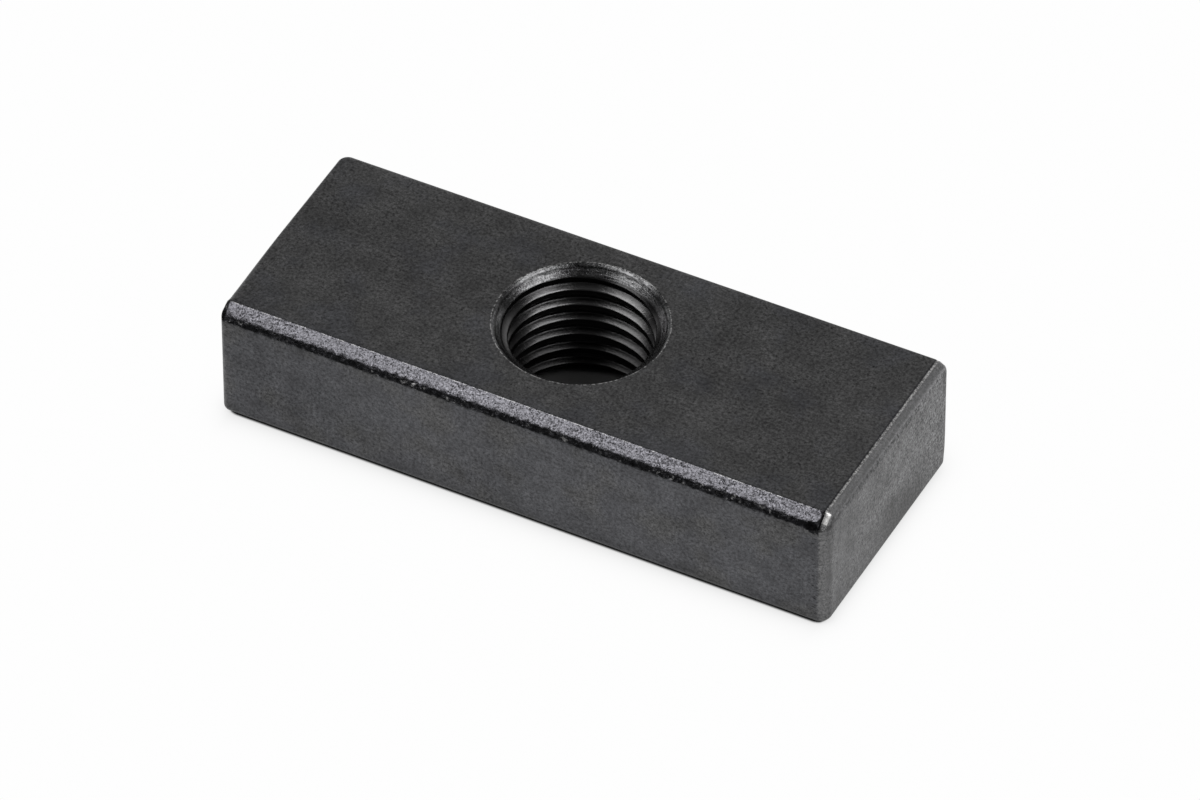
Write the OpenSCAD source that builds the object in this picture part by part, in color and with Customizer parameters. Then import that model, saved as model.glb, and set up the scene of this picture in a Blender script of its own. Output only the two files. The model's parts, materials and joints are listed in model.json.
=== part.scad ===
// T-slot nut: a plain steel bar with one tapped hole through it.
// It slides along a T-slot, and a screw from above pulls it up against the slot's lips.
// Origin: under the middle of the bar, on the face that it rests on. +X along the bar, +Z up.

/* [Bar] */
// Length of the bar, along X
bar_l = 68; // [45:0.5:120]
// Width of the bar, along Y
bar_w = 26.5; // [24:0.5:60]
// Height of the bar, along Z
bar_h = 14; // [8:0.5:30]

/* [Edges] */
// How far the long chamfer reaches back over the top face
chamfer_w = 1.6; // [0.6:0.1:3]
// How far the long chamfer reaches down the front face
chamfer_h = 1.25; // [0.6:0.05:3]
// Radius that blends the long chamfer into the front face
chamfer_blend_r = 0.9; // [0.2:0.1:1.6]
// How far the bevel of the right end reaches over the top face
bevel_w = 1; // [0.4:0.1:3]
// How far the bevel of the right end reaches down the end face
bevel_h = 0.6; // [0.4:0.1:3]
// Radius that blends the bevel into the end face
bevel_blend_r = 0.6; // [0.2:0.1:1.2]
// Radius of the left and the back top edge
top_r = 0.4; // [0.1:0.1:2]
// Radius of the four upright edges
upright_r = 0.7; // [0.1:0.1:3]
// Radius of the edges around the bottom face
bottom_r = 0.9; // [0.1:0.1:2.5]

/* [Tapped hole] */
// Nominal diameter of the screw thread
thread_d = 16; // [8:1:18]
// Height of the thread in the hole, from its root to its crest
thread_h = 0.7; // [0.4:0.05:1]
// How far the countersink's mouth stands outside the thread's root, all round
countersink_margin = 1; // [0.1:0.1:2]
// Angle of the countersink, from side to side
countersink_angle = 90; // [82:1:120]
// Place of the hole along the bar, from the bar's middle
hole_x = -0.9; // [-15:0.1:15]
// Place of the hole across the bar, from the bar's middle
hole_y = 1.5; // [-1.5:0.1:1.5]

/* [Hidden] */

// Half sizes, from which the outlines are drawn
half_l = bar_l / 2;
half_w = bar_w / 2;
// The plain wall of the hole stands on the thread's crests
crest_r = thread_d / 2 - thread_h;
countersink_r = thread_d / 2 + countersink_margin;
// How far a cutter runs past the face that it cuts
overrun = 1;
// Facets of a full turn, for the preview
$fn = 96;

// Length of the straight edge that a round corner takes away on each side,
// for a corner between the directions d_in and d_out
function setback(d_in, d_out, r) =
    r * tan(acos(max(-1, min(1, d_in * d_out))) / 2);

// Direction from one corner of an outline to another
function direction(a, b) =
    let (d = [b[0] - a[0], b[1] - a[1]]) d / norm(d);

// A convex outline with round corners. Each corner is [x, y, radius], counter-clockwise.
module round_outline(corners) {
    n = len(corners);
    ways = [for (i = [0:n - 1]) direction(corners[i], corners[(i + 1) % n])];
    backs = [for (i = [0:n - 1]) setback(ways[(i + n - 1) % n], ways[i], corners[i][2])];
    polygon([
        for (i = [0:n - 1])
            for (step = [-backs[i] * ways[(i + n - 1) % n], backs[i] * ways[i]])
                [corners[i][0], corners[i][1]] + step
    ]);
    for (i = [0:n - 1]) {
        r = corners[i][2];
        way_in = ways[(i + n - 1) % n];
        centre = [corners[i][0], corners[i][1]] - backs[i] * way_in + r * [-way_in[1], way_in[0]];
        if (r > 0) translate(centre) circle(r = r);
    }
}

// Seen from above: a rectangle with four round corners
module plan() {
    round_outline([
        [-half_l, -half_w, upright_r],
        [half_l, -half_w, upright_r],
        [half_l, half_w, upright_r],
        [-half_l, half_w, upright_r]
    ]);
}

// Section across the bar, Y to the right: chamfer at the front, small round at the back
module cross_section() {
    round_outline([
        [-half_w, 0, bottom_r],
        [half_w, 0, bottom_r],
        [half_w, bar_h, top_r],
        [-half_w + chamfer_w, bar_h, 0],
        [-half_w, bar_h - chamfer_h, chamfer_blend_r]
    ]);
}

// Section along the bar, X to the right: bevel at the right end, small round at the left
module long_section() {
    round_outline([
        [-half_l, 0, bottom_r],
        [half_l, 0, bottom_r],
        [half_l, bar_h - bevel_h, bevel_blend_r],
        [half_l - bevel_w, bar_h, 0],
        [-half_l, bar_h, top_r]
    ]);
}

// The bar is what the three outlines have in common
module bar() {
    intersection() {
        translate([0, 0, -overrun]) linear_extrude(height = bar_h + 2 * overrun) plan();
        rotate([90, 0, 90])
            linear_extrude(height = bar_l + 2 * overrun, center = true) cross_section();
        rotate([90, 0, 0])
            linear_extrude(height = bar_w + 2 * overrun, center = true) long_section();
    }
}

// Countersink that opens upwards, with its mouth at z = 0
module countersink() {
    slope = tan(countersink_angle / 2);
    rotate_extrude()
        polygon([
            [0, overrun],
            [0, -countersink_r / slope],
            [countersink_r + overrun * slope, overrun]
        ]);
}

// The hole for the screw: a plain wall on the thread's crests, countersunk at both faces
module tapped_hole() {
    translate([hole_x, hole_y, 0]) {
        translate([0, 0, -overrun]) cylinder(h = bar_h + 2 * overrun, r = crest_r);
        translate([0, 0, bar_h]) countersink();
        mirror([0, 0, 1]) countersink();
    }
}

module nut_body() {
    color([0.09, 0.09, 0.095]) difference() {
        bar();
        tapped_hole();
    }
}

nut_body();
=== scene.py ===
"""Looks of a t-slot nut: a black-oxide steel bar with one tapped and countersunk hole.

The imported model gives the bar's box and the hole's place and radius, and every size here is
worked out from them and from a few driving dimensions. The nut is one closed mesh: a fine
grid of rings for the outside of the bar, a fine grid of rings for the threaded hole, and two
flat faces that join them. Lengths are in metres.
"""

from __future__ import annotations

import json
import logging
import math
from dataclasses import dataclass, field
from enum import Enum
from typing import Any, Callable, Optional, Sequence, Union

import bpy
import numpy as np
from mathutils import Matrix, Vector

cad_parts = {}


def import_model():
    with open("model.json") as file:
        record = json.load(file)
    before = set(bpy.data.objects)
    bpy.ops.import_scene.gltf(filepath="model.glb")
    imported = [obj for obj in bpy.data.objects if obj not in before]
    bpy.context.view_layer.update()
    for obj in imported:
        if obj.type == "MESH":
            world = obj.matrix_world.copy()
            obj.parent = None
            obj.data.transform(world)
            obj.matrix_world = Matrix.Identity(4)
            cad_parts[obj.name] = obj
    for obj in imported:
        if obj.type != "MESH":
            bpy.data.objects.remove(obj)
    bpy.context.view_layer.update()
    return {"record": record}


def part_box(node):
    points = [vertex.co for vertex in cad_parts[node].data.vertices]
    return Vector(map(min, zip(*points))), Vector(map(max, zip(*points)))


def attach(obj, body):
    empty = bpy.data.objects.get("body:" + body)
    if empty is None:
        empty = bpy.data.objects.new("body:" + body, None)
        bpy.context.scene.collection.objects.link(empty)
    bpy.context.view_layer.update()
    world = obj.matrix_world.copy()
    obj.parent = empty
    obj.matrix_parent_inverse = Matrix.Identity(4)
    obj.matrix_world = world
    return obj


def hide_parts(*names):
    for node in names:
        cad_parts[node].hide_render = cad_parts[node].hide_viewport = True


MM = 0.001
NODE = "nut_body"
BODY = "root"

LOG = logging.getLogger("t_slot_nut")


# ---------------------------------------------------------------------------------------
# Shader maths
# ---------------------------------------------------------------------------------------


class Signal:
    """A number or colour that runs through a shader, and takes part in Python expressions."""

    def __init__(self, graph: "ShaderGraph", socket: bpy.types.NodeSocket) -> None:
        """Wraps an output socket.

        Args:
            graph: The node tree that the socket belongs to.
            socket: The output socket that carries the value.
        """
        self.graph = graph
        self.socket = socket

    def _math(self, operation: str, first: "Value", second: "Value") -> "Signal":
        """Adds a Math node for two operands and returns its result."""
        made = self.graph.node("ShaderNodeMath", {"operation": operation}, {0: first, 1: second})
        return Signal(self.graph, made.outputs[0])

    def __add__(self, other: "Value") -> "Signal":
        """Returns self + other."""
        return self._math("ADD", self, other)

    def __radd__(self, other: "Value") -> "Signal":
        """Returns other + self."""
        return self._math("ADD", other, self)

    def __sub__(self, other: "Value") -> "Signal":
        """Returns self - other."""
        return self._math("SUBTRACT", self, other)

    def __rsub__(self, other: "Value") -> "Signal":
        """Returns other - self."""
        return self._math("SUBTRACT", other, self)

    def __mul__(self, other: "Value") -> "Signal":
        """Returns self * other."""
        return self._math("MULTIPLY", self, other)

    def __rmul__(self, other: "Value") -> "Signal":
        """Returns other * self."""
        return self._math("MULTIPLY", other, self)

    def power(self, exponent: "Value") -> "Signal":
        """Returns self raised to an exponent."""
        return self._math("POWER", self, exponent)

    def greatest(self, other: "Value") -> "Signal":
        """Returns the greater of self and other."""
        return self._math("MAXIMUM", self, other)

    def reach(self, other: "Value") -> "Signal":
        """Returns the length of the sides self and other: the root of the sum of squares."""
        return (self * self + other * other).power(0.5)

    def size(self) -> "Signal":
        """Returns self without its sign."""
        return self._math("ABSOLUTE", self, 0.0)

    def step(self, low: float, high: float) -> "Signal":
        """Returns a smooth step from 0 at low to 1 at high; low may be above high.

        Args:
            low: The value at which the step is 0.
            high: The value at which the step is 1.

        Returns:
            The step, between 0 and 1.
        """
        made = self.graph.node(
            "ShaderNodeMapRange",
            {"interpolation_type": "SMOOTHSTEP", "clamp": True},
            {"Value": self, "From Min": low, "From Max": high},
        )
        return Signal(self.graph, made.outputs["Result"])

    def within(self, low: float, high: float, soft: float) -> "Signal":
        """Returns 1 between low and high and 0 outside, over soft borders."""
        return self.step(low - soft, low + soft) * self.step(high + soft, high - soft)

    def line(self, half_width: float, core: float = 0.4) -> "Signal":
        """Returns 1 about 0, which falls to 0 a half width to both sides.

        Args:
            half_width: Half the width of the line.
            core: Share of the line's width that is full.

        Returns:
            The line, between 0 and 1.
        """
        return self.size().step(half_width, core * half_width)


Value = Union[Signal, float]


class ShaderGraph:
    """A node tree that is filled from Python expressions."""

    def __init__(self, tree: bpy.types.NodeTree) -> None:
        """Takes over a node tree and empties it.

        Args:
            tree: The node tree of a material or of the world.
        """
        self.tree = tree
        self.tree.nodes.clear()

    def node(
        self,
        kind: str,
        settings: Optional[dict[str, Any]] = None,
        sockets: Optional[dict[Union[str, int], Any]] = None,
    ) -> bpy.types.Node:
        """Adds a node, sets it up and fills its sockets.

        Args:
            kind: Blender's type name of the node.
            settings: The node's own properties, which are set before its sockets.
            sockets: For each input socket a Signal to link, or a constant to set.

        Returns:
            The new node.
        """
        made = self.tree.nodes.new(kind)
        for name, setting in (settings or {}).items():
            setattr(made, name, setting)
        for name, value in (sockets or {}).items():
            if isinstance(value, Signal):
                self.tree.links.new(value.socket, made.inputs[name])
            else:
                made.inputs[name].default_value = value
        return made

    def signal(self, kind: str, output: str, *args: Any) -> Signal:
        """Adds a node and returns one of its outputs.

        Args:
            kind: Blender's type name of the node.
            output: The name of the output socket.
            *args: The settings and sockets, as node() takes them.

        Returns:
            The named output.
        """
        return Signal(self, self.node(kind, *args).outputs[output])

    def mix(self, factor: Value, first: Any, second: Any) -> Signal:
        """Mixes two colours.

        Args:
            factor: 0 gives the first colour and 1 gives the second.
            first: A colour or a Signal that carries one.
            second: A colour or a Signal that carries one.

        Returns:
            The mixed colour.
        """
        made = self.node(
            "ShaderNodeMix",
            {"data_type": "RGBA", "clamp_factor": True},
            {0: factor, 6: first, 7: second},
        )
        return Signal(self, made.outputs[2])

    def tint(self, colour: Any, gain: Signal) -> Signal:
        """Multiplies a colour by a number.

        Args:
            colour: A colour or a Signal that carries one.
            gain: The number.

        Returns:
            The brighter or darker colour.
        """
        made = self.node("ShaderNodeVectorMath", {"operation": "SCALE"}, {"Scale": gain})
        if isinstance(colour, Signal):
            self.tree.links.new(colour.socket, made.inputs[0])
        else:
            made.inputs[0].default_value = colour[:3]
        return Signal(self, made.outputs[0])


# ---------------------------------------------------------------------------------------
# Forms
# ---------------------------------------------------------------------------------------


def softer_max(first: np.ndarray, second: np.ndarray, blend: float) -> np.ndarray:
    """Returns the greater of two arrays, with a rounded change from one to the other.

    Half of (a + b + sqrt((a - b)^2 + blend^2)).
    """
    return 0.5 * (first + second + np.sqrt((first - second) ** 2 + blend**2))


def smooth(ramp: np.ndarray) -> np.ndarray:
    """Returns the smooth step 3 t^2 - 2 t^3 of a ramp that is first kept between 0 and 1."""
    kept = np.clip(ramp, 0.0, 1.0)
    return kept * kept * (3.0 - 2.0 * kept)


def rounded_edge(
    first: np.ndarray, second: np.ndarray, radius: Union[float, np.ndarray]
) -> np.ndarray:
    """Joins two surfaces, each given by its distance, along an edge with a round.

    The greater distance counts. Where both lie less than the radius inside, it is the
    distance to an arc instead: hypot(a + radius, b + radius) - radius.

    Args:
        first: Distance outside the first surface.
        second: Distance outside the second surface.
        radius: Radius of the round.

    Returns:
        The distance outside the joined surface.
    """
    over_first, over_second = first + radius, second + radius
    arc = np.hypot(over_first, over_second) - radius
    meets = (over_first > 0.0) & (over_second > 0.0)
    return np.where(meets, arc, np.maximum(first, second))


def waves(points: np.ndarray, length: float, count: int = 7) -> np.ndarray:
    """Works out an uneven ripple between about -1 and 1.

    It is the mean of sines, each along its own direction: the directions turn by the golden
    angle from one to the next, the lengths spread from 0.6 to 1.6 of the given one, and each
    sine starts 1.7 further on than the one before.

    Args:
        points: The places, as (..., 3).
        length: Middle length of the waves.
        count: Number of sines.

    Returns:
        The ripple at each place.
    """
    golden = math.pi * (3.0 - math.sqrt(5.0))
    total = np.zeros(points.shape[:-1])
    for index in range(count):
        level = 1.0 - 2.0 * (index + 0.5) / count
        ring = math.sqrt(1.0 - level * level)
        way = (ring * math.cos(golden * index), ring * math.sin(golden * index), level)
        reach = length * (0.6 + index / (count - 1))
        total += np.sin(points @ np.array(way) * (2.0 * math.pi / reach) + 1.7 * index)
    return total / math.sqrt(count)


@dataclass(frozen=True)
class EdgeCut:
    """Flat cuts along one top edge of the bar.

    Attributes:
        corners: Corners of the section from the top face to the side, each as the distance
            inward from the side and the distance down from the top face.
    """

    corners: tuple[tuple[float, float], ...]

    def outside(self, number: int, side: np.ndarray, top: np.ndarray) -> np.ndarray:
        """Works out the distance outside one of the cuts.

        The cut is the straight line through two corners, and its normal is that line turned
        by a right angle.

        Args:
            number: Number of the cut, counted from the top face.
            side: Distance outside the side's plane.
            top: Distance above the top face.

        Returns:
            The distance outside the cut.
        """
        (inset, drop), (next_inset, next_drop) = self.corners[number : number + 2]
        outward, upward = next_drop - drop, inset - next_inset
        length = math.hypot(outward, upward)
        return (outward * (side + inset) + upward * (top + drop)) / length

    def section(self, counts: Sequence[int], margin: float) -> np.ndarray:
        """Works out where the mesh's rings cross the edge's section.

        The points lie on the lines between the corners, closer together at the corners: a
        point's share of its line is (1 - cos(pi t)) / 2. One line more lies on the top face
        and one on the side.

        Args:
            counts: How many points each line has.
            margin: Length of the line on the top face and of the one on the side.

        Returns:
            The (inset, drop) pairs.
        """
        first, last = np.array(self.corners[0]), np.array(self.corners[-1])
        stops = [first + (margin, 0.0), *map(np.array, self.corners), last + (0.0, margin)]
        lines = []
        for start, end, count in zip(stops, stops[1:], counts):
            share = 0.5 * (1.0 - np.cos(math.pi * np.arange(count) / count))[:, None]
            lines.append(start * (1.0 - share) + end * share)
        return np.concatenate([*lines, stops[-1][None, :]])


class Side(Enum):
    """The bar's four sides, counter-clockwise as seen from above."""

    FRONT = 0
    RIGHT = 1
    BACK = 2
    LEFT = 3


@dataclass(frozen=True)
class BarForm:
    """The outside of the bar, as a distance that is 0 on the steel's surface.

    Attributes:
        half_length: Half the bar's length.
        half_width: Half the bar's width.
        height: Height of the bar, which stands on z = 0.
        front_edge: The long chamfer and the narrow cut under it.
        right_edge: The bevel of the right end; its middle corner lies on one line.
        plain_edge: Tangent lines of a small round, for the other two top edges.
        uprights: Radius at the top and at the foot of the corner after each Side.
        upright_fade: Height over which a corner changes to its radius at the foot.
        crisp_round: Round between the long chamfer and what it meets.
        bevel_round: Round between the bevel and the top face.
        cut_round: Round between the narrow cut and the front.
        edge_round: Round of the plain top edges.
        left_round: Round of the left top edge at its front end.
        end_round: Round between the bevel and the right end.
        foot_round: Round of the edges at the bottom.
        taper: How much narrower the bar is at its left end.
        bevel_taper: How much the bevel lies further out at its back end.
        end_reach: How far in from the ends their own top rounds start.
        end_fade: Length over which these rounds take over.
        tip_reach: How far in from the right end the round over the front's cuts widens.
        tip_fade: Length over which it widens.
        cut_end: How far before the right end the narrow cut starts to run out.
        ripple: Depth of the unevenness of the narrow cut.
        ripple_length: Length of that unevenness.
    """

    half_length: float
    half_width: float
    height: float
    front_edge: EdgeCut = EdgeCut(((1.6 * MM, 0.0), (0.4 * MM, 0.94 * MM), (0.0, 1.6 * MM)))
    right_edge: EdgeCut = EdgeCut(((1.0 * MM, 0.0), (0.5 * MM, 0.3 * MM), (0.0, 0.6 * MM)))
    plain_edge: EdgeCut = EdgeCut(((0.27 * MM, 0.0), (0.08 * MM, 0.08 * MM), (0.0, 0.27 * MM)))
    uprights: tuple[tuple[float, float], ...] = (
        (1.16 * MM, 1.3 * MM),
        (0.3 * MM, 0.7 * MM),
        (1.1 * MM, 0.9 * MM),
        (0.8 * MM, 0.8 * MM),
    )
    upright_fade: float = 3.5 * MM
    crisp_round: float = 0.03 * MM
    bevel_round: float = 0.14 * MM
    cut_round: float = 0.08 * MM
    edge_round: float = 0.4 * MM
    left_round: float = 0.9 * MM
    end_round: float = 0.6 * MM
    foot_round: float = 0.9 * MM
    taper: float = 0.3 * MM
    bevel_taper: float = 0.16 * MM
    end_reach: float = 1.5 * MM
    end_fade: float = 1.0 * MM
    tip_reach: float = 0.8 * MM
    tip_fade: float = 0.5 * MM
    cut_end: float = 1.3 * MM
    ripple: float = 0.035 * MM
    ripple_length: float = 0.9 * MM

    def upright_radius(self, points: np.ndarray) -> np.ndarray:
        """Works out the upright corners' radius at each place.

        The nearest corner counts, and its two radii blend over the fade's height.

        Args:
            points: The places, as (..., 3).

        Returns:
            The radius at each place.
        """
        right, back = points[..., 0] > 0.0, points[..., 1] > 0.0
        corner = np.where(
            right,
            np.where(back, Side.RIGHT.value, Side.FRONT.value),
            np.where(back, Side.BACK.value, Side.LEFT.value),
        )
        upper, lower = np.array(self.uprights)[corner].transpose(2, 0, 1)
        return upper + (lower - upper) * smooth(1.0 - points[..., 2] / self.upright_fade)

    def top_round(self, points: np.ndarray) -> np.ndarray:
        """Works out the round between the top of the bar and its sides.

        It is crisp over the front's cuts and plain elsewhere. Along the left edge it grows
        towards the front, along the bevel it is wider, and at the bar's ends it is plain
        over the front's cuts too.

        Args:
            points: The places, as (..., 3).

        Returns:
            The round's radius at each place.
        """
        x, y = points[..., 0], points[..., 1]
        reach = self.front_edge.corners[0][0]
        away = smooth((y + self.half_width) / reach - 0.5)
        grown = smooth(-y / self.half_width)
        left = smooth((self.end_reach - self.half_length - x) / self.end_fade)
        right = smooth((self.end_reach - self.half_length + x) / self.end_fade)
        plain = self.edge_round * (1.0 - left - right)
        ends = left * (self.edge_round + (self.left_round - self.edge_round) * grown)
        wide = plain + ends + right * self.end_round
        at_front = self.crisp_round + left * (self.edge_round - self.crisp_round)
        tip = smooth((self.tip_reach - self.half_length + x) / self.tip_fade)
        at_front = at_front + tip * (self.edge_round - at_front)
        return at_front + (wide - at_front) * away

    def outside(self, points: np.ndarray) -> np.ndarray:
        """Works out the distance outside the bar, below 0 in the steel.

        The four sides meet at the upright corners. The top face, the chamfer and the bevel
        make the cap, the sides and the narrow cut make the wall, and rounds join the cap,
        the wall and the bottom.

        Args:
            points: The places, as (..., 3).

        Returns:
            The distance at each place.
        """
        x, y, z = points[..., 0], points[..., 1], points[..., 2]
        top = z - self.height
        front, right, left = -y - self.half_width, x - self.half_length, -x - self.half_length
        back = y - self.half_width + self.taper * 0.5 * (1.0 - x / self.half_length)
        sides = rounded_edge(
            np.maximum(front, back), np.maximum(left, right), self.upright_radius(points)
        )
        cap = rounded_edge(top, self.front_edge.outside(0, front, top), self.crisp_round)
        further = self.bevel_taper * 0.5 * (1.0 + y / self.half_width)
        bevel = self.right_edge.outside(0, right, cap) - further
        cap = rounded_edge(cap, bevel, self.bevel_round)
        uneven = self.ripple * (1.0 + waves(points, self.ripple_length))
        run_out = np.maximum(x - self.half_length + self.cut_end, 0.0)
        cut = self.front_edge.outside(1, front, top) + uneven - run_out
        wall = rounded_edge(sides, cut, self.cut_round)
        whole = rounded_edge(cap, wall, self.top_round(points))
        return rounded_edge(whole, -z, self.foot_round)

    def settle(
        self,
        points: np.ndarray,
        rounds: int = 7,
        probe: float = 0.0005 * MM,
        least_slope: float = 0.5,
    ) -> np.ndarray:
        """Moves places that lie near the surface onto it.

        Newton's steps: a place moves against the slope of the distance, by the distance over
        the slope. The slope comes from the distances a probe's length to both sides.

        Args:
            points: The places, as (..., 3).
            rounds: Number of steps.
            probe: Length of the probe.
            least_slope: The smallest slope that is reckoned with, which bounds a step.

        Returns:
            The places on the surface.
        """
        for _ in range(rounds):
            slopes = [
                (self.outside(points + step) - self.outside(points - step)) / (2.0 * probe)
                for step in probe * np.eye(3)
            ]
            slope = np.stack(slopes, axis=-1)
            steep = np.maximum((slope**2).sum(axis=-1), least_slope**2)
            points = points - (self.outside(points) / steep)[..., None] * slope
        return points


@dataclass(frozen=True)
class Thread:
    """Right-hand inside thread.

    Attributes:
        root_radius: Radius at the bottom of the groove.
        crest_radius: Radius at the top of the ridge.
        pitch: Distance from one ridge to the next.
        crest_flat: Width of the ridge's flat top, along the axis.
        flank_angle: Angle between a flank and the plane across the axis.
        phase: Depth of a ridge's upper corner below the top face, towards +X.
        blend: Rounding of the ridge's corners.
    """

    root_radius: float
    crest_radius: float
    pitch: float = 2.0 * MM
    crest_flat: float = 0.62 * MM
    flank_angle: float = math.radians(30.0)
    phase: float = 0.886 * MM
    blend: float = 0.05 * MM

    def radius(self, angle: np.ndarray, depth: np.ndarray) -> np.ndarray:
        """Works out the radius of the thread's surface.

        The distance to the middle of the nearest ridge, along the axis, repeats every pitch
        and turns with the angle. Past half the flat the flank rises to the root, and both
        ends of the flank are rounded.

        Args:
            angle: Angle about the axis, counter-clockwise from +X.
            depth: Depth below the top face.

        Returns:
            The radius at each angle and depth.
        """
        middle = self.phase + 0.5 * self.crest_flat - self.pitch * angle / (2.0 * math.pi)
        turn = (depth - middle) / self.pitch
        away = np.abs(turn - np.round(turn)) * self.pitch
        rise = (away - 0.5 * self.crest_flat) / math.tan(self.flank_angle)
        height = self.root_radius - self.crest_radius
        lifted = softer_max(rise, np.zeros_like(rise), self.blend)
        capped = height - softer_max(height - lifted, np.zeros_like(rise), self.blend)
        return self.crest_radius + capped


@dataclass(frozen=True)
class Countersink:
    """Cone at the mouth of the hole, with a narrow broken edge around it.

    Attributes:
        mouth_radius: Radius where the broken edge meets the face.
        break_width: Width of the broken edge, seen along the axis.
        break_depth: Depth of the broken edge.
        half_angle: Angle between the cone and the axis.
        lip_radius: Radius that blends the broken edge into the face.
        blend: Rounding between the broken edge and the cone.
    """

    mouth_radius: float
    break_width: float = 0.22 * MM
    break_depth: float = 0.14 * MM
    half_angle: float = math.radians(45.0)
    lip_radius: float = 0.08 * MM
    blend: float = 0.02 * MM

    def radius(self, depth: np.ndarray) -> np.ndarray:
        """Works out the cone's radius below the broken edge.

        The radius shrinks by tan(half angle) for each unit of depth, and the broken edge is a
        flatter cone on top of it. The smaller of the two counts, with a rounded change.

        Args:
            depth: Depth below the face.

        Returns:
            The radius at each depth.
        """
        edge = self.mouth_radius - depth * self.break_width / self.break_depth
        start = self.mouth_radius - self.break_width + self.break_depth * math.tan(self.half_angle)
        cone = start - depth * math.tan(self.half_angle)
        return softer_max(edge, cone, self.blend)

    def lip(self, count: int) -> tuple[np.ndarray, np.ndarray]:
        """Works out the small arc between the face and the broken edge.

        The arc starts level with the face and turns down to the slope of the broken edge.

        Args:
            count: How many points the arc has.

        Returns:
            The radius and the depth of each point.
        """
        slope = math.atan2(self.break_depth, self.break_width)
        turn = np.linspace(0.0, slope, count)
        back = self.lip_radius * math.tan(slope / 2.0)
        radius = self.mouth_radius + back - self.lip_radius * np.sin(turn)
        return radius, self.lip_radius * (1.0 - np.cos(turn))


@dataclass(frozen=True)
class RingPlan:
    """How the points of one ring around the bar are shared out.

    Attributes:
        straight: How many points lie along each side, in the order of Side.
        corner: How many points lie around each upright corner.
    """

    straight: tuple[int, int, int, int] = (400, 160, 300, 140)
    corner: int = 20

    @property
    def columns(self) -> int:
        """Returns how many points a ring has."""
        return sum(self.straight) + len(Side) * self.corner

    def rings(
        self,
        half: Sequence[float],
        insets: np.ndarray,
        heights: np.ndarray,
        radii: np.ndarray,
    ) -> np.ndarray:
        """Works out rings around the bar, each a rectangle with four round corners.

        A side lies its half size, less its inset, from the middle. A corner's arc has its
        centre one radius inside both sides. The height changes from one side's to the
        next's around the arc, as a smooth step.

        Args:
            half: Distance of each side's plane from the middle, for the four sides.
            insets: Distance of each ring inside each side's plane, as (rings, 4).
            heights: Height of each ring along each side, as (rings, 4).
            radii: Radius of each ring's corner after each side, as (rings, 4).

        Returns:
            The points, as (rings, columns, 3).
        """
        normals = np.array([[0.0, -1.0], [1.0, 0.0], [0.0, 1.0], [-1.0, 0.0]])
        reach = np.asarray(half)[None, :] - insets
        ahead = np.roll(normals, -1, axis=0)
        corners = reach[:, :, None] * normals + np.roll(reach, -1, axis=1)[:, :, None] * ahead
        parts = []
        for side in range(len(Side)):
            before = (side - 1) % len(Side)
            start = corners[:, before] - radii[:, before, None] * normals[before]
            end = corners[:, side] - radii[:, side, None] * ahead[side]
            share = (np.arange(self.straight[side]) / self.straight[side])[None, :, None]
            line = start[:, None, :] * (1.0 - share) + end[:, None, :] * share
            level = np.repeat(heights[:, side, None], self.straight[side], axis=1)
            parts.append(np.concatenate([line, level[:, :, None]], axis=2))

            turn = (np.arange(self.corner) / self.corner)[None, :, None]
            angle = turn * (math.pi / 2.0)
            centre = corners[:, side] - radii[:, side, None] * (normals[side] + ahead[side])
            ray = np.cos(angle) * normals[side] + np.sin(angle) * ahead[side]
            arc = centre[:, None, :] + radii[:, side, None, None] * ray
            after = (side + 1) % len(Side)
            blend = smooth(turn[:, :, 0])
            rise = heights[:, side, None] * (1.0 - blend) + heights[:, after, None] * blend
            parts.append(np.concatenate([arc, rise[:, :, None]], axis=2))
        return np.concatenate(parts, axis=1)


# ---------------------------------------------------------------------------------------
# Finishes
# ---------------------------------------------------------------------------------------


@dataclass(frozen=True)
class Finish:
    """One finish of the steel.

    Attributes:
        colour: Its colour.
        roughness: Its roughness.
        cloud: How much clouds of 9 mm change the colour.
        patch: How much patches of 2 mm change the colour.
        grain: How much the grain of 0.35 mm changes the colour.
        fine: How much the finest grain changes the colour.
        pits: How dark the pits are.
        bump: Height of the grain, in hundredths of a millimetre.
    """

    colour: tuple[float, float, float]
    roughness: float
    cloud: float = 0.0
    patch: float = 0.0
    grain: float = 0.0
    fine: float = 0.0
    pits: float = 0.0
    bump: float = 0.0


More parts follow.
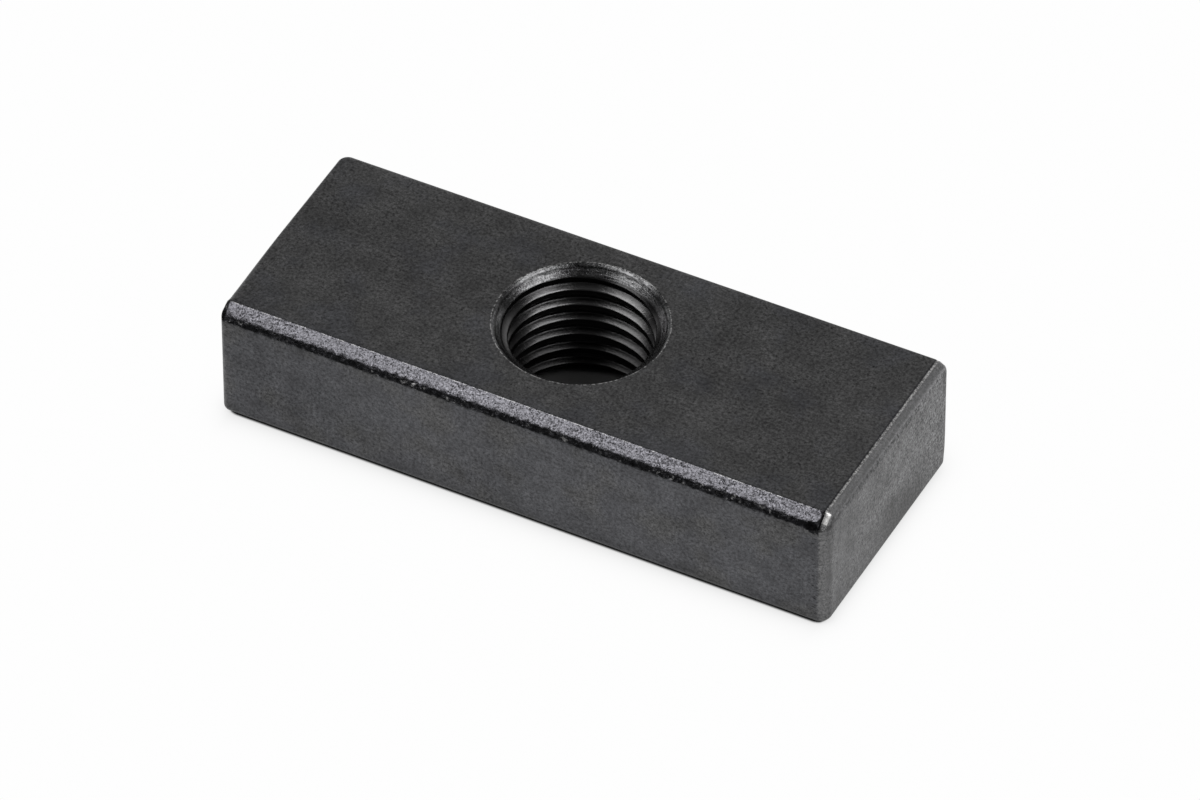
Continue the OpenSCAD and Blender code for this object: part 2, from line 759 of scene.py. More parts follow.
class NutRegions:
    """Where the nut's finishes lie, worked out from the place on the nut.

    Every place is in millimetres, and every region is a number from 0 to 1.
    """

    def __init__(self, graph: ShaderGraph, form: BarForm, hole: Vector, mouth: float) -> None:
        """Works out the coordinates that the regions are told by.

        Args:
            graph: The material's node tree.
            form: The bar's outside.
            hole: Place of the hole's axis.
            mouth: Radius of the hole's mouth.
        """
        self.graph = graph
        self.mouth = mouth / MM
        self.half_length = form.half_length / MM
        self.half_width = form.half_width / MM
        self.height = form.height / MM
        self.front_edge = [(inset / MM, drop / MM) for inset, drop in form.front_edge.corners]
        self.right_edge = [(inset / MM, drop / MM) for inset, drop in form.right_edge.corners]
        self.cut_drop = self.front_edge[-1][1]
        place = graph.signal("ShaderNodeTexCoord", "Object")
        scaled = {0: place, "Scale": 1.0 / MM}
        self.place = graph.signal("ShaderNodeVectorMath", "Vector", {"operation": "SCALE"}, scaled)
        axes = graph.node("ShaderNodeSeparateXYZ", None, {0: self.place})
        self.x, self.y, self.z = (Signal(graph, axes.outputs[axis]) for axis in range(3))
        self.depth = self.height - self.z
        self.inward = self.y + self.half_width
        self.radius = (self.x - hole.x / MM).reach(self.y - hole.y / MM)
        (inset, _), (next_inset, next_drop) = self.front_edge[:2]
        self.chamfer_slope = math.atan2(next_drop, inset - next_inset)
        self.chamfer_width = math.hypot(inset - next_inset, next_drop)
        self.bevel_start = self.half_length - self.right_edge[0][0]
        self.chamfer_left = 0.55 - self.half_length
        self.chamfer_right = self.bevel_start - 0.2
        # 0 where the front meets the right end, and 1 less for each mm inward from either.
        self.diagonal = self.x - self.half_length - self.inward
        # The strips that the finishes of the top edges keep to.
        self.front_strip = self.inward.step(1.9, 1.7)
        self.behind_chamfer = self.inward.step(1.2, 1.6)
        self.top_strip = self.depth.step(0.3, 0.15)

    def noise(
        self,
        size: float,
        detail: float = 2.0,
        rough: float = 0.5,
        stretch: tuple[float, float, float] = (1.0, 1.0, 1.0),
    ) -> Signal:
        """Returns noise about 0.

        Args:
            size: Size of its waves.
            detail: How many finer waves are laid over them.
            rough: How strong the finer waves are.
            stretch: How much longer the waves are along each axis.

        Returns:
            The noise, between about -0.5 and 0.5.
        """
        scale = tuple(1.0 / (size * factor) for factor in stretch)
        place = self.graph.signal(
            "ShaderNodeVectorMath", "Vector", {"operation": "MULTIPLY"}, {0: self.place, 1: scale}
        )
        sockets = {"Vector": place, "Scale": 1.0, "Detail": detail, "Roughness": rough}
        return self.graph.signal("ShaderNodeTexNoise", "Fac", None, sockets) - 0.5

    def down_chamfer(self) -> Signal:
        """Returns the distance down the long chamfer from its upper border."""
        slope = self.chamfer_slope
        across = self.front_edge[0][0] - self.inward
        return across * math.cos(slope) + self.depth * math.sin(slope)

    def down_bevel(self) -> Signal:
        """Returns the distance down the right end's bevel from its upper border."""
        inset, drop = self.right_edge[0][0], self.right_edge[-1][1]
        slope = math.atan2(drop, inset)
        end = self.x - (self.half_length - inset)
        return end * math.cos(slope) + self.depth * math.sin(slope)

    def chamfer(self, left_corner: float, right_corner: float, ragged: Signal) -> Signal:
        """Works out the long chamfer's cut face, which has round corners.

        The distance outside a rounded rectangle is the length of what lies beyond its inner
        rectangle on both axes, less the corner's radius. The lower border rises before the
        right end.

        Args:
            left_corner: Radius of its corners at the left end.
            right_corner: Radius of its corners at the right end.
            ragged: How far its lower border lies off.

        Returns:
            The region.
        """
        width = self.chamfer_width
        middle = 0.5 * (self.chamfer_left + self.chamfer_right)
        half = 0.5 * (self.chamfer_right - self.chamfer_left)
        corner = self.x.step(-1.0, 1.0) * (right_corner - left_corner) + left_corner
        beside = (self.x - middle).size() + corner - half
        beyond = (self.down_chamfer() - 0.5 * width).size() + corner - 0.5 * width
        rise, rise_length = 0.25, 2.5
        risen = ragged + self.x.step(self.chamfer_right - rise_length, self.chamfer_right) * rise
        lower = self.down_chamfer() * (1.0 / width)
        outside = beside.greatest(0.0).reach(beyond.greatest(0.0)) - corner + risen * lower
        return outside.step(0.03, -0.05) * self.depth.step(1.5, 1.2)

    def chamfer_ridge(self, half_width: float) -> Signal:
        """Returns a line along the upper border of the long chamfer."""
        before_end = self.x.step(self.chamfer_right - 0.2, self.chamfer_right - 0.6)
        return (self.down_chamfer() - 0.05).line(half_width) * self.top_strip * before_end

    def narrow_cut(self, ragged: Signal) -> Signal:
        """Returns the narrow cut under the chamfer, and what lies around the chamfer's ends.

        Its lower border sinks before the right end.
        """
        sinking = 0.4
        start = self.bevel_start
        near = self.inward.step(1.9, 1.8) * self.down_chamfer().step(0.0, 0.08)
        near = near * self.x.step(start + 0.02, start - 0.06)
        low = self.x.step(start - 2.0, start - 0.2) * sinking + self.cut_drop
        return near * (self.depth + ragged - low).step(0.06, -0.02)

    def right_tip_shade(self) -> Signal:
        """Returns the right end of the narrow cut, and what lies before it, where shade is
        painted.
        """
        return self.x.step(self.bevel_start - 2.5, self.bevel_start - 0.8)

    def left_tip_shade(self) -> Signal:
        """Returns the front of the left edge, beyond the left end of the long chamfer, where shade
        is painted.
        """
        beyond = self.x.step(self.chamfer_left + 0.05, self.chamfer_left - 0.1)
        return beyond * self.front_strip * self.depth.step(1.7, 1.5)

    def bevel(self) -> Signal:
        """Returns the bevel of the right end."""
        drop = self.right_edge[-1][1]
        return self.down_bevel().step(-0.04, 0.06) * self.depth.step(drop + 0.25, drop)

    def bevel_line(self, down: float, half_width: float) -> Signal:
        """Returns a line along the bevel's upper border, a distance down from it."""
        line = (self.down_bevel() - down).line(half_width)
        return line * self.top_strip * self.behind_chamfer

    def chamfer_end_highlight(self) -> Signal:
        """Returns the small face between the long chamfer and the right end, which takes a painted
        highlight.
        """
        down = self.down_chamfer().within(-0.1, self.chamfer_width - 0.3, 0.1)
        across = self.x.within(self.bevel_start, self.bevel_start + 0.5, 0.06)
        return across * down * self.front_strip

    def upright(self, reach: float, ragged: Signal) -> Signal:
        """Returns the upright corner between the front and the right end.

        Above it, it also takes in what lies between the long chamfer and the right end.

        Args:
            reach: How far it reaches in from the sides' meeting line.
            ragged: How far its border lies off.

        Returns:
            The region.
        """
        low = self.cut_drop
        near = (self.diagonal + ragged).step(-reach, -reach + 0.3)
        below = near * self.depth.step(low, low + 0.2)
        beside = self.x.step(self.bevel_start, self.bevel_start + 0.1) * self.front_strip
        return below.greatest(beside * self.depth.step(low + 0.2, low))

    def beside_upright(self, reach: float) -> Signal:
        """Returns a stripe of the front along that corner."""
        width = 0.5
        return self.diagonal.within(-reach - width, -reach, 0.1)

    def end_face(self) -> Signal:
        """Returns the right end of the bar."""
        return self.x.step(self.half_length - 0.35, self.half_length - 0.05)

    def foot(self) -> Signal:
        """Returns a ramp down the lowest part of the sides, steeper just above the foot, for
        painted shade.
        """
        steep_share = 0.4
        ramp = self.z.step(2.6, 0.0) * (1.0 - steep_share)
        return ramp + self.z.step(0.75, 0.3) * steep_share

    def low_stain_and_shade(self) -> Signal:
        """Returns a soft oval low in the middle of the ends.

        Its centre lies 3 mm behind the middle and 2 mm above the foot, and it ends 10 mm to
        the sides and 5.5 mm up from there.
        """
        across, up = (self.y - 3.0) * 0.12, (self.z - 2.0) * 0.22
        return across.reach(up).step(1.2, 0.0)

    def low_back_shade(self) -> Signal:
        """Returns a soft patch low at the back of the right end, where shade is painted."""
        return self.y.step(self.half_width - 4.5, self.half_width) * self.z.step(5.0, 0.5)

    def left_half(self) -> Signal:
        """Returns a ramp from the middle of the bar to its left end."""
        return self.x.step(0.0, -self.half_length)

    def bore(self) -> Signal:
        """Returns the hole with its countersinks."""
        return self.radius.step(self.mouth + 0.04, self.mouth - 0.02)

    def thread(self, root: float) -> Signal:
        """Returns the threaded part of the hole."""
        return self.radius.step(root / MM + 0.02, root / MM - 0.1)

    def root_shade(self, crest: float, root: float) -> Signal:
        """Returns a ramp from the thread's crest to its root."""
        return self.radius.step(crest / MM + 0.1, root / MM)

    def groove(self, depth: float, half_width: float) -> Signal:
        """Returns a ring around the cone, at a depth below the top face."""
        return (self.depth - depth).line(half_width)

    def deeper(self) -> Signal:
        """Returns a ramp that starts at 0 under the cone and is 1 near the hole's bottom."""
        return self.depth.step(1.5, 12.0)

    def rim(self, half_width: float) -> Signal:
        """Returns a line around the hole's mouth."""
        return (self.radius - self.mouth - 0.02).line(half_width, 0.3)


@dataclass(frozen=True)
class BlackOxide:
    """Black oxide on steel: dark where it was tumbled, grainy where cut, pale where rubbed, with
    painted highlights and shade.

    Attributes:
        tumbled: Finish of the tumbled faces.
        blued: Finish of their bluer patches.
        end: Finish of the right end.
        narrow: Finish of the narrow cut under the long chamfer: glossy, with its colour painted
            darker for the dark reflection it shows; also used for a painted dark line along the
            bevel.
        chamfer: Finish of the long chamfer.
        bevel: Finish of the right end's bevel.
        corner: Finish of the upright corner: rubbed, and painted lighter for the light its round
            catches.
        cone: Finish of the countersinks.
        thread: Finish of the thread.
        wear_and_highlight: Pale finish where the oxide is rubbed off an edge; also painted on as
            highlights and glints.
        upright_reach: How far the corner's finish reaches in from where its sides meet.
        patchy: How much more the grain shows in the patches.
        back_grain: How much more it shows on the right end, for each millimetre to the back.
        back_painted_light: Painted light: how much lighter the right end is, for each millimetre
            to the back.
        streaks: Strength of the upright streaks on the right end.
        turning: Strength of the turning marks in the countersinks.
        turning_depth: Their height, in hundredths of a millimetre.
        specks: Strength of the light specks outside the hole.
        edge_pits: How dark the pits beside the upright corner are.
        low_stain_and_shade: How dark the oval low on the ends is: partly a stain, partly painted
            shade for the shadow reflected at the foot.
        low_back_shade: Painted shade: how dark the back of the right end is at its foot.
        foot: Painted shade: how dark the foot of the sides is, for the shadow that it reflects.
        left_half: How much darker the long chamfer is at its left end.
        left_tip_shade: Painted shade: how dark the edge beyond its left end is.
        right_tip_shade: Painted shade: how dark the narrow cut is at its right end.
        cone_groove: How dark the groove in the countersinks is.
        deep_shade: Painted shade: how dark the thread is towards the hole's bottom.
        root_shade: Painted shade: how dark the thread's roots are.
        least_gain: The darkest that all of these make the colour, as a share of it.
    """

    tumbled: Finish = Finish(
        (0.0760, 0.0755, 0.0760), roughness=0.40, cloud=0.6, patch=0.9, grain=1.6, fine=1.5,
        pits=0.10, bump=1.1,
    )
    blued: Finish = Finish(
        (0.0740, 0.0750, 0.0810), roughness=0.40, cloud=0.6, patch=0.9, grain=1.4, fine=1.0,
        pits=0.10, bump=1.0,
    )
    end: Finish = Finish(
        (0.117, 0.117, 0.119), roughness=0.42, cloud=0.3, patch=1.9, grain=2.6, fine=2.6, pits=0.2,
        bump=1.6,
    )
    # Darker than the tumbled faces: painted shade for the dark reflection of the narrow cut.
    narrow: Finish = Finish(
        (0.034, 0.034, 0.037), roughness=0.30, patch=0.8, grain=1.6, fine=1.6, bump=1.6,
    )
    chamfer: Finish = Finish(
        (0.119, 0.1175, 0.129), roughness=0.34, patch=0.10, grain=0.6, fine=3.9, pits=0.4,
        bump=1.6,
    )
    bevel: Finish = Finish(
        (0.235, 0.235, 0.238), roughness=0.42, cloud=0.2, patch=0.2, grain=0.5, fine=1.0, pits=0.1,
        bump=0.8,
    )
    # Partly rubbed steel, partly painted light on the corner's round.
    corner: Finish = Finish(
        (0.140, 0.1395, 0.141), roughness=0.42, patch=0.5, grain=0.8, fine=1.4, pits=0.3, bump=1.0,
    )
    cone: Finish = Finish(
        (0.112, 0.112, 0.114), roughness=0.26, patch=0.3, grain=0.9, fine=2.0, pits=0.3, bump=1.4,
    )
    thread: Finish = Finish(
        (0.112, 0.111, 0.112), roughness=0.24, patch=0.2, grain=0.4, fine=0.6, bump=0.5,
    )
    # Pale: rubbed edges, and painted highlights and glints.
    wear_and_highlight: Finish = Finish(
        (0.56, 0.555, 0.55), roughness=0.42, patch=0.2, grain=0.5, fine=0.8, bump=1.0,
    )
    upright_reach: float = 1.15
    patchy: float = 1.6
    back_grain: float = 0.03
    back_painted_light: float = 0.010
    streaks: float = 1.1
    turning: float = 2.2
    turning_depth: float = 2.0
    specks: float = 0.45
    edge_pits: float = 0.5
    low_stain_and_shade: float = 0.6
    low_back_shade: float = 0.3
    foot: float = 0.46
    left_half: float = 0.16
    left_tip_shade: float = 0.7
    right_tip_shade: float = 0.6
    cone_groove: float = 0.5
    deep_shade: float = 0.85
    root_shade: float = 0.75
    least_gain: float = 0.1

    def build(
        self, name: str, form: BarForm, hole: Vector, mouth: float, root: float, crest: float
    ) -> bpy.types.Material:
        """Builds the material.

        The finishes are laid over each other, each where its region says. Noise in several
        sizes then changes the colour and makes the bumps; painted shade darkens some places, and
        painted light brightens the back of the right end.

        Args:
            name: Name of the material.
            form: The bar's outside.
            hole: Place of the hole's axis.
            mouth: Radius of the hole's mouth.
            root: Radius of the thread's root.
            crest: Radius of the thread's crest.

        Returns:
            The material.
        """
        material = bpy.data.materials.new(name)
        material.use_nodes = True
        graph = ShaderGraph(material.node_tree)
        at = NutRegions(graph, form, hole, mouth)
        cloud, patch = at.noise(9.0), at.noise(2.2, 3.0)
        grain, fine = at.noise(0.35, 1.0), at.noise(0.17, 1.0)
        ragged = at.noise(1.1, 2.0, 0.6) * 0.75 + grain * 0.2
        streak = at.noise(0.7, 3.0, 0.6, (1.0, 1.0, 5.0))
        rings = at.noise(0.16, 1.0, 0.5, (9.0, 9.0, 1.0))
        pit = (at.noise(0.22, 1.0, 0.5, (2.5, 1.0, 1.0)) + patch * 0.3).step(0.1, 0.16)
        speck = (at.noise(0.26) + cloud * 0.2).step(0.15, 0.22)
        painted_glint = (at.noise(0.4, 2.0) + patch * 0.3).step(0.10, 0.22)
        blue = (at.noise(5.0) + at.inward.step(8.0, 0.0) * 0.2).step(0.0, 0.25)
        dots = (grain + patch * 0.3).step(-0.06, 0.05)
        fine_dots = (fine + grain * 0.4).step(-0.06, 0.05)

        bore = at.bore()
        thread = at.thread(root)
        narrow = at.narrow_cut(ragged * 0.25 + 0.1)
        chamfer = at.chamfer(0.4, 0.7, ragged)
        bevel = at.bevel()
        # Each finish lies over those before it.
        layers = [
            (blue * 0.8, self.blued),
            (at.end_face(), self.end),
            (bevel, self.bevel),
            # The upright corner: rubbed, and painted lighter for the light its round catches.
            (at.upright(self.upright_reach, grain * 0.3), self.corner),
            # The narrow cut: glossy, its colour painted darker for the dark reflection.
            (narrow, self.narrow),
            # Painted glints: pale specks in the narrow cut.
            (narrow * painted_glint * 0.38, self.wear_and_highlight),
            (chamfer, self.chamfer),
            (at.chamfer_ridge(0.09) * dots * 0.27, self.wear_and_highlight),
            # Painted highlight on the small face at the chamfer's right end.
            (at.chamfer_end_highlight(), self.wear_and_highlight),
            # Painted shade: a dark line on the top face just inside the bevel's upper border.
            (at.bevel_line(-0.17, 0.10) * 0.8, self.narrow),
            # Pale dots along the bevel's upper border: partly a rubbed edge, partly a painted
            # highlight.
            (at.bevel_line(0.05, 0.15) * (fine_dots * 0.8 + 0.2), self.wear_and_highlight),
            (bore, self.cone),
            (bore * thread, self.thread),
            (at.rim(0.08) * dots * 0.45, self.wear_and_highlight),
        ]

        def blended(pick: Callable[[Finish], float]) -> Signal:
            """Returns one value of the finishes, blended by their regions."""
            value: Value = pick(self.tumbled)
            for region, finish in layers:
                value = value + region * (pick(finish) - value)
            return value

        colour: Any = (*self.tumbled.colour, 1.0)
        for region, finish in layers:
            colour = graph.mix(region, colour, (*finish.colour, 1.0))
        cone = bore * (1.0 - thread)
        end = at.end_face()
        gain = 1.0 + cloud * blended(lambda finish: finish.cloud)
        gain = gain + patch * blended(lambda finish: finish.patch)
        grainy = grain * blended(lambda finish: finish.grain)
        grainy = grainy + fine * blended(lambda finish: finish.fine)
        gain = gain + grainy * (1.0 + patch * self.patchy + end * at.y * self.back_grain)
        gain = gain + streak * end * (1.0 - bevel) * self.streaks + rings * cone * self.turning
        gain = gain + speck * (1.0 - bore) * self.specks
        beside = at.beside_upright(self.upright_reach)
        pits = blended(lambda finish: finish.pits) + beside * self.edge_pits
        # The right end is painted lighter towards its back.
        gain = gain * (1.0 - pit * pits) * (1.0 + end * at.y * self.back_painted_light)
        # Darkening of the colour. Painted shade: the foot, the low back of the right end, the
        # front edge beyond the chamfer's left end, the narrow cut's right end, the hole's depth
        # and the thread's roots; the low oval on the ends is partly a stain and partly painted
        # shade.
        shades = [
            # Partly a stain, partly painted shade for the reflected shadow at the foot.
            (end * at.low_stain_and_shade(), self.low_stain_and_shade),
            # Painted shade low at the back of the right end.
            (end * at.low_back_shade(), self.low_back_shade),
            # Painted shade at the foot, for the reflected shadow under it.
            (at.foot(), self.foot),
            (at.left_half() * chamfer, self.left_half),
            # Painted shade beyond the chamfer's left end.
            (at.left_tip_shade(), self.left_tip_shade),
            # Painted shade at the narrow cut's right end.
            (at.right_tip_shade() * narrow * (1.0 - chamfer), self.right_tip_shade),
            (at.groove(0.33, 0.12) * cone, self.cone_groove),
            # Painted shade deeper in the hole.
            (bore * thread * at.deeper(), self.deep_shade),
            # Painted shade in the thread's roots.
            (bore * thread * at.root_shade(crest, root), self.root_shade),
        ]
        for region, darkness in shades:
            gain = gain * (1.0 - region * darkness)
        rough = blended(lambda finish: finish.roughness) + patch * 0.08
        height = grain + fine * 0.6 + patch * 0.8 - pit * 0.6
        height = height * blended(lambda finish: finish.bump) + rings * cone * self.turning_depth
        bump = graph.signal(
            "ShaderNodeBump",
            "Normal",
            None,
            {"Strength": 1.0, "Distance": 0.01 * MM, "Height": height},
        )
        shader = graph.node(
            "ShaderNodeBsdfPrincipled",
            None,
            {
                "Base Color": graph.tint(colour, gain.greatest(self.least_gain)),
                "Metallic": 1.0,
                "Roughness": rough,
                "Normal": bump,
            },
        )
        graph.node(
            "ShaderNodeOutputMaterial",
            None,
            {"Surface": Signal(graph, shader.outputs["BSDF"])},
        )
        return material


# ---------------------------------------------------------------------------------------
# The nut
# ---------------------------------------------------------------------------------------


@dataclass
class NutBody:
    """The whole nut: one bar with its edges, its tapped hole and its countersinks.

    Attributes:
        low: Lowest corner of the bar's box.
        high: Highest corner of the bar's box.
        hole: Place of the hole's axis.
        crest_radius: Radius of the hole at the thread's crests.
        thread_height: Height of the thread, from root to crest.
        mouth_margin: How far the countersink's mouth stands outside the thread's root.
        cone_blend: Rounding where a countersink runs into the thread.
        least_corner: The smallest radius of a ring's corner.
        plan: How the points of a ring are shared out.
        edge_rows: How many rings lie on each line of a top edge's section.
        edge_margin: How far the rings reach beyond a top edge.
        wall_rows: How many rings lie on the upright walls.
        foot_rows: How many rings lie on the round at the bottom.
        lip_rows: How many rings lie on the round of the countersink's mouth.
        hole_columns: How many points a ring of the hole has.
        hole_step: Depth from one ring of the hole to the next.
    """

    low: Vector
    high: Vector
    hole: Vector
    crest_radius: float
    thread_height: float = 0.7 * MM
    mouth_margin: float = 1.0 * MM
    cone_blend: float = 0.03 * MM
    least_corner: float = 0.1 * MM
    plan: RingPlan = field(default_factory=RingPlan)
    edge_rows: tuple[int, int, int, int] = (4, 9, 7, 3)
    edge_margin: float = 0.8 * MM
    wall_rows: int = 6
    foot_rows: int = 9
    lip_rows: int = 4
    hole_columns: int = 270
    hole_step: float = 0.075 * MM

    @property
    def height(self) -> float:
        """Returns the height of the bar."""
        return self.high.z - self.low.z

    @property
    def root_radius(self) -> float:
        """Returns the radius at the bottom of the thread's groove."""
        return self.crest_radius + self.thread_height

    @property
    def mouth_radius(self) -> float:
        """Returns the radius of the hole's mouth."""
        return self.root_radius + self.mouth_margin

    def form(self) -> BarForm:
        """Returns the outside of the bar, standing on z = 0 about the origin."""
        size = self.high - self.low
        return BarForm(0.5 * size.x, 0.5 * size.y, size.z)

    def skin(self) -> np.ndarray:
        """Works out the bar's outside, as rings from the top face to the bottom face.

        The rings follow the four top edges' sections, run straight down the sides, turn under
        along a quarter circle, and are then moved onto the bar's rounded form.

        Returns:
            The points, as (rings, columns, 3).
        """
        form = self.form()
        edges = [form.front_edge, form.right_edge, form.plain_edge, form.plain_edge]
        sections = [edge.section(self.edge_rows, self.edge_margin) for edge in edges]
        insets, drops = np.stack(sections, axis=1).transpose(2, 0, 1)

        share = np.linspace(0.0, 1.0, self.wall_rows + 2)[1:-1, None]
        wall_height = (self.height - drops[-1]) * (1.0 - share) + form.foot_round * share
        turn = np.linspace(0.0, math.pi / 2.0, self.foot_rows)[:, None]
        foot_inset = np.repeat(form.foot_round * (1.0 - np.cos(turn)), len(Side), axis=1)
        foot_height = np.repeat(form.foot_round * (1.0 - np.sin(turn)), len(Side), axis=1)
        last = foot_inset[-1:] + self.edge_margin

        inset = np.concatenate([insets, np.zeros_like(wall_height), foot_inset, last])
        level = np.concatenate([self.height - drops, wall_height, foot_height, foot_height[-1:]])
        upper, lower = np.array(form.uprights).T
        upright = np.where(level > form.upright_fade, upper, lower)
        mean_inset = 0.5 * (inset + np.roll(inset, -1, axis=1))
        radii = np.maximum(upright - mean_inset, self.least_corner)

        half = [form.half_width, form.half_length, form.half_width, form.half_length]
        points = form.settle(self.plan.rings(half, inset, level, radii))
        middle = 0.5 * (self.low + self.high)
        return points + np.array([middle.x, middle.y, self.low.z])

    def bore(self) -> np.ndarray:
        """Works out the wall of the hole, as rings from the top face to the bottom face.

        The wall stands at the greatest of three radii: the thread's and the two cones'.

        Returns:
            The points, as (rings, columns, 3).
        """
        thread = Thread(self.root_radius, self.crest_radius)
        sink = Countersink(self.mouth_radius)
        lip_radius, lip_depth = sink.lip(self.lip_rows)
        inner = np.arange(lip_depth[-1] + self.hole_step, 0.5 * self.height, self.hole_step)
        half_depth = np.concatenate([lip_depth, inner])
        depth = np.concatenate([half_depth, self.height - half_depth[::-1]])[:, None]
        angle = (np.arange(self.hole_columns) / self.hole_columns * 2.0 * math.pi)[None, :]
        cones = softer_max(sink.radius(depth), sink.radius(self.height - depth), 0.0)
        radius = softer_max(thread.radius(angle, depth), cones, self.cone_blend)
        radius[: self.lip_rows] = lip_radius[:, None]
        radius[-self.lip_rows :] = lip_radius[::-1, None]
        return np.stack(
            [
                self.hole.x + radius * np.cos(angle),
                self.hole.y + radius * np.sin(angle),
                np.broadcast_to(self.high.z - depth, radius.shape),
            ],
            axis=2,
        )

    def mesh(self) -> bpy.types.Mesh:
        """Joins the outside and the hole into one closed mesh.

        Neighbouring points of neighbouring rings make the quads. The flat faces are fans of
        polygons, each between two points of the hole's ring and the run of points on the
        bar's ring that lies in front of them.

        Returns:
            The mesh.
        """
        skin, bore = self.skin(), self.bore()
        across = self.plan.columns // self.hole_columns
        # The hole's first column faces +X, and the bar's first one starts the front side.
        front, right = self.plan.straight[Side.FRONT.value], self.plan.straight[Side.RIGHT.value]
        first = front + self.plan.corner + right // 2
        skin = np.roll(skin, -first, axis=1)

        def grid(offset: int, rows: int, columns: int, outward: bool) -> np.ndarray:
            """Returns the quads of a grid that closes on itself, as point numbers."""
            row = np.arange(rows - 1)[:, None] * columns
            here = np.arange(columns)[None, :]
            ahead = (here + 1) % columns
            quads = [row + here, row + ahead, row + columns + ahead, row + columns + here]
            if outward:
                quads = quads[::-1]
            return offset + np.stack(quads, axis=2).reshape(-1, 4)

        base = skin.shape[0] * skin.shape[1]
        outside = grid(0, *skin.shape[:2], outward=True)
        inside = grid(base, *bore.shape[:2], outward=False)

        here = np.arange(self.hole_columns)
        ahead = (here + 1) % self.hole_columns
        run = (here[:, None] * across + np.arange(across + 1)[None, :]) % self.plan.columns
        upper = np.concatenate([base + np.stack([ahead, here], axis=1), run], axis=1)
        lower_run = (skin.shape[0] - 1) * self.plan.columns + run[:, ::-1]
        lower_base = base + (bore.shape[0] - 1) * self.hole_columns
        lower = np.concatenate([lower_base + np.stack([here, ahead], axis=1), lower_run], axis=1)

        points = np.concatenate([skin.reshape(-1, 3), bore.reshape(-1, 3)])
        faces = [*outside.tolist(), *inside.tolist(), *upper.tolist(), *lower.tolist()]
        mesh = bpy.data.meshes.new("nut_body_finished")
        mesh.from_pydata(points.tolist(), [], faces)
        mesh.update()
        mesh.polygons.foreach_set("use_smooth", np.ones(len(mesh.polygons), dtype=bool))
        return mesh

    def build(self) -> bpy.types.Object:
        """Makes the nut's object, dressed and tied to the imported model.

        Returns:
            The nut's object.
        """
        nut = bpy.data.objects.new("black_oxide_nut", self.mesh())
        bpy.context.scene.collection.objects.link(nut)
        steel = BlackOxide().build(
            "black_oxide_steel",
            self.form(),
            self.hole,
            self.mouth_radius,
            self.root_radius,
            self.crest_radius,
        )
        nut.data.materials.append(steel)
        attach(nut, BODY)
        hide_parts(NODE)
        return nut


# ---------------------------------------------------------------------------------------
# Studio
# ---------------------------------------------------------------------------------------


@dataclass(frozen=True)
class Viewpoint:
    """The camera.

    Attributes:
        azimuth: Direction round the nut; 0 looks along +Y.
        elevation: Height of the view above the horizon.
        roll: Turn of the picture.
        lens: Focal length in millimetres.
        sensor: Width of the sensor in millimetres.
        image_width: Width of the picture in pixels.
        image_height: Height of the picture in pixels.
        scale: Pixels to a millimetre, at the aimed point.
        aim_x: Pixel column of the aimed point.
        aim_y: Pixel row of the aimed point.
        clip: Distances between which the camera sees.
    """

    azimuth: float = math.radians(27.59)
    elevation: float = math.radians(43.0)
    roll: float = math.radians(-0.11)
    lens: float = 359.2
    sensor: float = 36.0
    image_width: float = 1200.0
    image_height: float = 800.0
    scale: float = 10.06
    aim_x: float = 582.11
    aim_y: float = 335.01
    clip: tuple[float, float] = (0.05, 20.0)

    def axes(self) -> tuple[Vector, Vector, Vector]:
        """Returns the camera's right, up and backward directions."""
        back = Vector(
            (
                math.sin(self.azimuth) * math.cos(self.elevation),
                -math.cos(self.azimuth) * math.cos(self.elevation),
                math.sin(self.elevation),
            )
        )
        level = Vector((math.cos(self.azimuth), math.sin(self.azimuth), 0.0))
        above = back.cross(level)
        right = level * math.cos(self.roll) + above * math.sin(self.roll)
        up = above * math.cos(self.roll) - level * math.sin(self.roll)
        return right, up, back

    def build(self, target: Vector) -> bpy.types.Object:
        """Makes the camera and makes it the scene's.

        Args:
            target: The aimed point.

        Returns:
            The camera.
        """
        right, up, back = self.axes()
        focal = self.lens / self.sensor * self.image_width
        aside = (0.5 * self.image_width - self.aim_x) * right
        above = (0.5 * self.image_height - self.aim_y) * -up
        place = target + (aside + above + focal * back) * (MM / self.scale)
        data = bpy.data.cameras.new("camera")
        data.lens = self.lens
        data.sensor_width = self.sensor
        data.clip_start, data.clip_end = self.clip
        camera = bpy.data.objects.new("camera", data)
        turn = Matrix((right, up, back)).transposed().to_4x4()
        camera.matrix_world = Matrix.Translation(place) @ turn
        bpy.context.scene.collection.objects.link(camera)
        bpy.context.scene.camera = camera
        return camera


@dataclass(frozen=True)
class SoftBox:
    """A square soft lamp, which faces the nut.

    Attributes:
        name: Name of the lamp.
        right: How far its direction leads to the camera's right.
        ahead: How far it leads onward from the camera.
        up: How far it leads upward.
        size: Width and height of the lamp.
        radiance: Brightness of the lamp's face, where 1 is white.
        distance: Distance from the nut.
    """

    name: str
    right: float
    ahead: float
    up: float
    size: float
    radiance: float
    distance: float = 1.4

    def build(self, view: Viewpoint) -> bpy.types.Object:
        """Makes the lamp.

        Args:
            view: The viewpoint that the lamp's place is given for.

        Returns:
            The lamp.
        """
        level = Vector((math.cos(view.azimuth), math.sin(view.azimuth), 0.0))
        onward = Vector((-math.sin(view.azimuth), math.cos(view.azimuth), 0.0))
        way = self.right * level + self.ahead * onward + self.up * Vector((0.0, 0.0, 1.0))
        way.normalize()
        data = bpy.data.lights.new(self.name, "AREA")
        data.shape = "SQUARE"
        data.size = self.size
        data.energy = self.radiance * math.pi * self.size**2
        lamp = bpy.data.objects.new(self.name, data)
        lamp.location = way * self.distance
        lamp.rotation_euler = way.to_track_quat("Z", "Y").to_euler()
        lamp.visible_camera = False
        bpy.context.scene.collection.objects.link(lamp)
        return lamp


